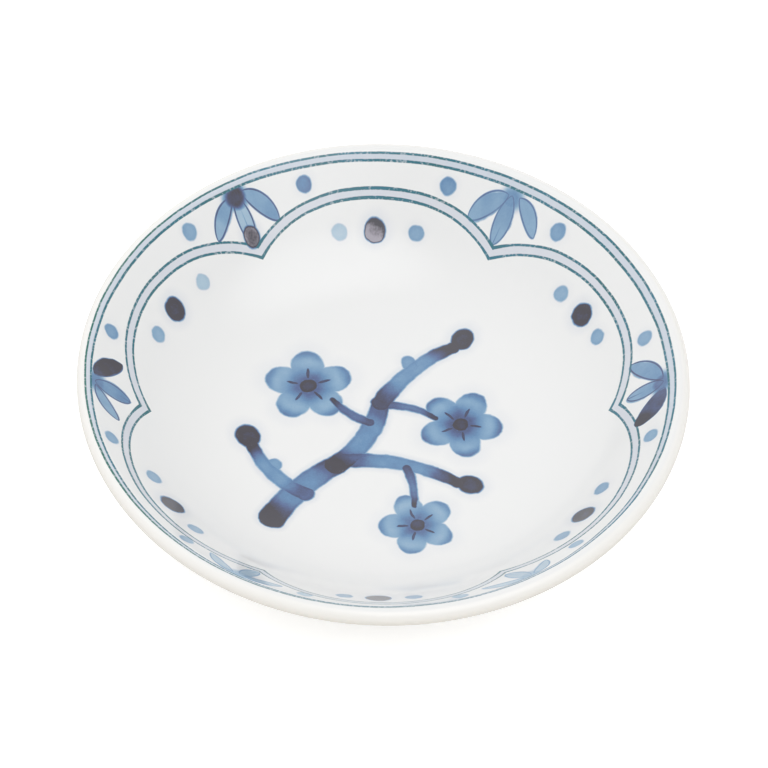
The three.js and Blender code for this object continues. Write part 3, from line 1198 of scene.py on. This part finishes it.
# %% [markdown]
# ## A map for baking
# Outside Blender the painting can only travel as a picture on the face, so the face brings a map of its own.
# The eating side is laid out as one flat disc by its distance along the profile, which keeps every line
# equally sharp from the well to the lip. The hidden side against the clay needs no detail and gets a small
# disc in a corner.

# %% Distance along the face
wall_direction = Vector((math.cos(WALL_ANGLE), math.sin(WALL_ANGLE)))
SWEEP_START = well_centre.x
WALL_START = SWEEP_START + WELL_FILLET * WALL_ANGLE
LIP_START = WALL_START + (inner_lip - well_centre).dot(wall_direction)
FACE_LENGTH = LIP_START + lip_round * math.pi + GLAZE
ALMOST_NOTHING = 1e-7


def face_measure(point):
    """How far along the face a point of the profile is, and its height above the clay."""
    from_lip = point - lip_centre
    from_well = point - well_centre
    if from_lip.dot(wall_direction) > -ALMOST_NOTHING:
        return LIP_START + lip_round * wall_normal.angle(from_lip), from_lip.length - lip_round
    if from_well.dot(wall_direction) > 0:
        return WALL_START + from_well.dot(wall_direction), WELL_FILLET + from_well.dot(wall_normal)
    if from_well.x > 0:
        turn = math.atan2(from_well.x, -from_well.y)
        return SWEEP_START + WELL_FILLET * turn, WELL_FILLET - from_well.length
    return point.x, point.y - FLOOR_HEIGHT


print("Face is", round(FACE_LENGTH / MM, 1), "mm from the middle to the end of its glaze")

# %% Bake map of the face
MAP_MIDDLE, MAP_RADIUS = Vector((0.5, 0.5)), 0.49
HIDDEN_MIDDLE, HIDDEN_RADIUS = Vector((0.07, 0.07)), 0.06

face_mesh = painted_face.data
bake_map = face_mesh.uv_layers.new(name="OFBake")
places = []
for vertex in face_mesh.vertices:
    spread = vertex.co.to_2d()
    reach, cover = face_measure(Vector((spread.length, vertex.co.z)))
    direction = spread.normalized() if spread.length > ALMOST_NOTHING else Vector((0, 0))
    places.append((reach, cover, direction))
for polygon in face_mesh.polygons:
    hidden = all(places[index][1] < GLAZE / 2 for index in polygon.vertices)
    for loop in polygon.loop_indices:
        reach, cover, direction = places[face_mesh.loops[loop].vertex_index]
        if hidden:
            bake_map.data[loop].uv = HIDDEN_MIDDLE + HIDDEN_RADIUS * reach / FACE_LENGTH * direction
        else:
            reach += GLAZE - cover
            bake_map.data[loop].uv = MAP_MIDDLE + MAP_RADIUS * reach / FACE_LENGTH * direction
print(bake_map.name, "has", len(bake_map.data), "corners")

# %% [markdown]
# ## Table
# The dish stands on a plain white table. More light would whiten the table but wash out the dish too, so the
# table glows instead, and only to the camera's own rays. It comes out white like the backdrop and still
# keeps the dish's soft shadow.

# %% Table
TABLE_SIZE = 8.0
TABLE_WHITE = screen_colour(246, 246, 246)
TABLE_ROUGHNESS = 0.9
TABLE_GLOW = 0.42
WHITE = (1, 1, 1, 1)

bpy.ops.object.select_all(action="DESELECT")
bpy.ops.mesh.primitive_plane_add(size=TABLE_SIZE)
table = bpy.context.object
table.name = "white_table"
paper = bpy.data.materials.new("white_table")
paper.use_nodes = True
seen = add_node(paper.node_tree, "LightPath", {})["Is Camera Ray"]
fill(paper.node_tree.nodes["Principled BSDF"], {
    "Base Color": TABLE_WHITE,
    "Roughness": TABLE_ROUGHNESS,
    "Specular IOR Level": 0.0,
    "Emission Color": WHITE,
    "Emission Strength": seen * TABLE_GLOW,
})
table.data.materials.append(paper)
print("Table is", TABLE_SIZE, "m wide")

# %% [markdown]
# ## Light
# White ware is photographed inside a tent of white cloth, so light comes from everywhere and hardly casts a
# shadow. The cloth is a little brighter behind the dish on the left, and one soft bright place high on the
# camera's right is what the wall on the far left reflects as a broad sheen. A lamp with hard edges would
# show its outline in the glaze, so both are part of the world, which is the tent. Only the camera's own
# rays find it plain white.

# %% World: each soft light has a turn, an elevation, the angles of its edge and its core, and a strength
TENT_LOW, TENT_HIGH = 0.71, 0.56
TENT_HEIGHTS = (-0.1, 0.9)
SOFT_LIGHTS = (
    (240, 30, (90, 18), 0.40),
    (44, 65, (36, 8), 1.6),
)


def tent_direction(turn, elevation):
    """The direction at an elevation, turned to the right from the camera's side of the table, in degrees."""
    around, up = math.radians(turn), math.radians(elevation)
    return Vector((math.sin(around) * math.cos(up), -math.cos(around) * math.cos(up), math.sin(up)))


room = bpy.data.worlds.new("white_tent")
bpy.context.scene.world = room
room.use_nodes = True
way = add_node(room.node_tree, "TexCoord", {})["Generated"]
cloth = blend(soft_step(parts_of(way)["Z"], *TENT_HEIGHTS), TENT_LOW, TENT_HIGH)
for turn, elevation, (edge, core), strength in SOFT_LIGHTS:
    facing = compute("DOT_PRODUCT", way, tent_direction(turn, elevation))
    share = soft_step(facing, math.cos(math.radians(edge)), math.cos(math.radians(core)))
    cloth = times_plus(share, strength, cloth)
seen = add_node(room.node_tree, "LightPath", {})["Is Camera Ray"]
fill(room.node_tree.nodes["Background"], {"Color": WHITE, "Strength": blend(seen, cloth, 1.0)})
bpy.context.scene.view_settings.view_transform = "Standard"
print("Tent light runs from", TENT_LOW, "to", TENT_HIGH, "with", len(SOFT_LIGHTS), "soft lights")
